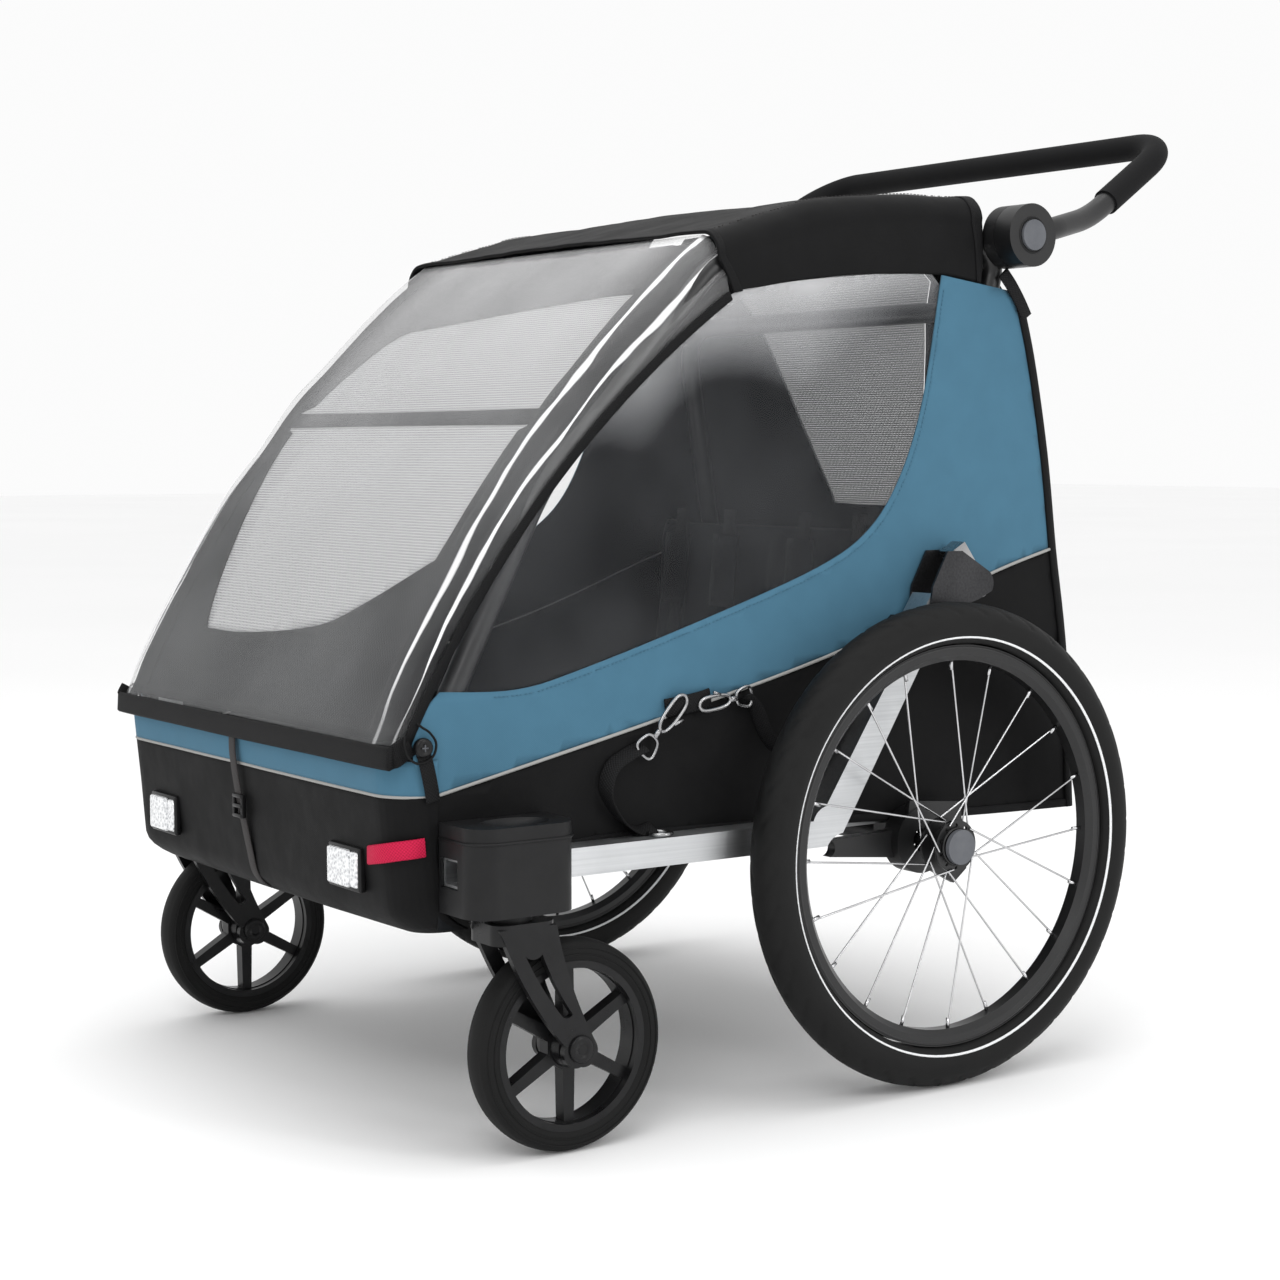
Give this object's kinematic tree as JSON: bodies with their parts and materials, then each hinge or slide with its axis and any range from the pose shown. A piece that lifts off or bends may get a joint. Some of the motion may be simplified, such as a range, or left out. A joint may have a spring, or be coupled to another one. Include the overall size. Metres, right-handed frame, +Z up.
{
  "type": "child bicycle trailer",
  "caption": "Folding child bicycle trailer with a clear front cover, spoked rear wheels, swivel casters, push bar and stowed hitch arm.",
  "frame": {"origin": "on the ground, under the middle of the bounding box", "axes": "+X to the trailer's left, -Y to its front, +Z up"},
  "size_m": [0.7886, 1.0255, 1.0115],
  "materials": {
    "black_plastic": "fine moulded grain",
    "grey_plastic": "fine moulded grain",
    "frame_aluminium": "satin anodised",
    "black_metal": "satin powder coat",
    "tyre_rubber": "moulded, reflective band on the side wall",
    "caster_rubber": "moulded",
    "rim_black": "black anodised",
    "spoke_steel": "polished",
    "hardware_steel": "zinc plated",
    "foam_grip": "closed foam",
    "blue_fabric": "coated plain weave",
    "black_fabric": "coated plain weave",
    "grey_fabric": "plain weave",
    "mesh_fabric": "open mesh",
    "clear_vinyl": "clear soft film",
    "webbing": "narrow woven",
    "red_webbing": "narrow woven",
    "reflector": "prismatic"
  },
  "bodies": {
    "chassis": {"axle_beam": "black_metal", "base_cross_front": "frame_aluminium", "base_cross_rear": "frame_aluminium", "base_rail_left": "frame_aluminium", "base_rail_right": "frame_aluminium", "brake_unit_left": "black_metal", "brake_unit_right": "black_metal", "caster_housing_left": "black_plastic", "caster_housing_right": "black_plastic", "cover_buttons": "black_plastic", "floor_board": "black_plastic", "front_reflectors": "reflector", "front_screen": "mesh_fabric", "front_strap": "webbing", "harness": "webbing", "hitch_arm": "frame_aluminium", "lower_side_left": "black_fabric", "lower_side_right": "black_fabric", "nose_panel": "black_fabric", "pull_tab": "red_webbing", "rain_cover": "clear_vinyl", "rear_panel": "blue_fabric", "rear_pocket": "mesh_fabric", "roof_cover": "black_fabric", "safety_strap_front": "webbing", "safety_strap_rear": "webbing", "seat": "grey_fabric", "snap_hooks": "hardware_steel", "strap_ring": "hardware_steel", "upper_side_left": "blue_fabric", "upper_side_right": "blue_fabric"},
    "canopy_frame": {"roof_rail_left": "black_metal", "roof_rail_right": "black_metal", "roof_cross": "black_metal", "handle_hub_left": "black_plastic", "handle_hub_right": "black_plastic"},
    "rear_frame": {"rear_hoop": "black_metal"},
    "handlebar": {"handle_tube": "black_metal", "handle_grip": "foam_grip"},
    "coupler": {"hitch_coupler": "hardware_steel"},
    "pedal": {"brake_pedal": "black_metal"},
    "hub_button_left": {"hub_button_left": "grey_plastic"},
    "wheel_left": {"wheel_tyre_left": "tyre_rubber", "wheel_rim_left": "rim_black", "wheel_spokes_left": "spoke_steel", "wheel_hub_left": "black_metal"},
    "wheel_cap_left": {"wheel_cap_left": "grey_plastic"},
    "caster_left": {"caster_fork_left": "black_plastic"},
    "caster_roller_left": {"caster_wheel_left": "black_plastic", "caster_tyre_left": "caster_rubber"},
    "hub_button_right": {"hub_button_right": "grey_plastic"},
    "wheel_right": {"wheel_tyre_right": "tyre_rubber", "wheel_rim_right": "rim_black", "wheel_spokes_right": "spoke_steel", "wheel_hub_right": "black_metal"},
    "wheel_cap_right": {"wheel_cap_right": "grey_plastic"},
    "caster_right": {"caster_fork_right": "black_plastic"},
    "caster_roller_right": {"caster_wheel_right": "black_plastic", "caster_tyre_right": "caster_rubber"}
  },
  "joints": [
    {"name": "canopy_fold", "type": "hinge", "parent": "chassis", "child": "canopy_frame", "pos_m": [0, -0.4628, 0.375], "axis": [-1, 0, 0], "range_deg": [0, 36], "deforming": ["upper_side_left", "upper_side_right", "rain_cover", "front_screen", "roof_cover", "rear_panel", "rear_pocket", "seat", "harness"]},
    {"name": "rear_frame_fold", "type": "hinge", "parent": "chassis", "child": "rear_frame", "pos_m": [0, 0.3122, 0.304], "axis": [1, 0, 0], "range_deg": [0, 77]},
    {"name": "handlebar_tilt", "type": "hinge", "parent": "canopy_frame", "child": "handlebar", "pos_m": [0, 0.2422, 0.879], "axis": [1, 0, 0], "range_deg": [-50, 122]},
    {"name": "coupler_pivot", "type": "hinge", "parent": "chassis", "child": "coupler", "pos_m": [0.325, 0.1792, 0.515], "axis": [1, 0, 0], "range_deg": [-25, 25]},
    {"name": "brake_pedal_press", "type": "hinge", "parent": "chassis", "child": "pedal", "pos_m": [0, 0.1412, 0.238], "axis": [1, 0, 0], "range_deg": [-18, 0]},
    {"name": "hub_button_press_left", "type": "slide", "parent": "handlebar", "child": "hub_button_left", "axis": [-1, 0, 0], "range_m": [0, 0.004], "stiffness_N_per_m": 800},
    {"name": "wheel_spin_left", "type": "hinge", "parent": "chassis", "child": "wheel_left", "pos_m": [0.3708, 0.1072, 0.25], "axis": [1, 0, 0], "continuous": true},
    {"name": "wheel_cap_press_left", "type": "slide", "parent": "wheel_left", "child": "wheel_cap_left", "axis": [-1, 0, 0], "range_m": [0, 0.004], "stiffness_N_per_m": 500},
    {"name": "caster_swivel_left", "type": "hinge", "parent": "chassis", "child": "caster_left", "pos_m": [0.3426, -0.4048, 0.225], "axis": [0, 0, 1], "continuous": true},
    {"name": "caster_roll_left", "type": "hinge", "parent": "caster_left", "child": "caster_roller_left", "pos_m": [0.3426, -0.3448, 0.1008], "axis": [1, 0, 0], "continuous": true},
    {"name": "hub_button_press_right", "type": "slide", "parent": "handlebar", "child": "hub_button_right", "axis": [1, 0, 0], "range_m": [0, 0.004], "stiffness_N_per_m": 800},
    {"name": "wheel_spin_right", "type": "hinge", "parent": "chassis", "child": "wheel_right", "pos_m": [-0.3708, 0.1072, 0.25], "axis": [1, 0, 0], "continuous": true},
    {"name": "wheel_cap_press_right", "type": "slide", "parent": "wheel_right", "child": "wheel_cap_right", "axis": [1, 0, 0], "range_m": [0, 0.004], "stiffness_N_per_m": 500},
    {"name": "caster_swivel_right", "type": "hinge", "parent": "chassis", "child": "caster_right", "pos_m": [-0.3426, -0.4048, 0.225], "axis": [0, 0, 1], "continuous": true},
    {"name": "caster_roll_right", "type": "hinge", "parent": "caster_right", "child": "caster_roller_right", "pos_m": [-0.3426, -0.3448, 0.1008], "axis": [1, 0, 0], "continuous": true}
  ],
  "couplings": [
    {"joint": "rear_frame_fold", "follows": "canopy_fold", "ratio": 2.1388}
  ]
}
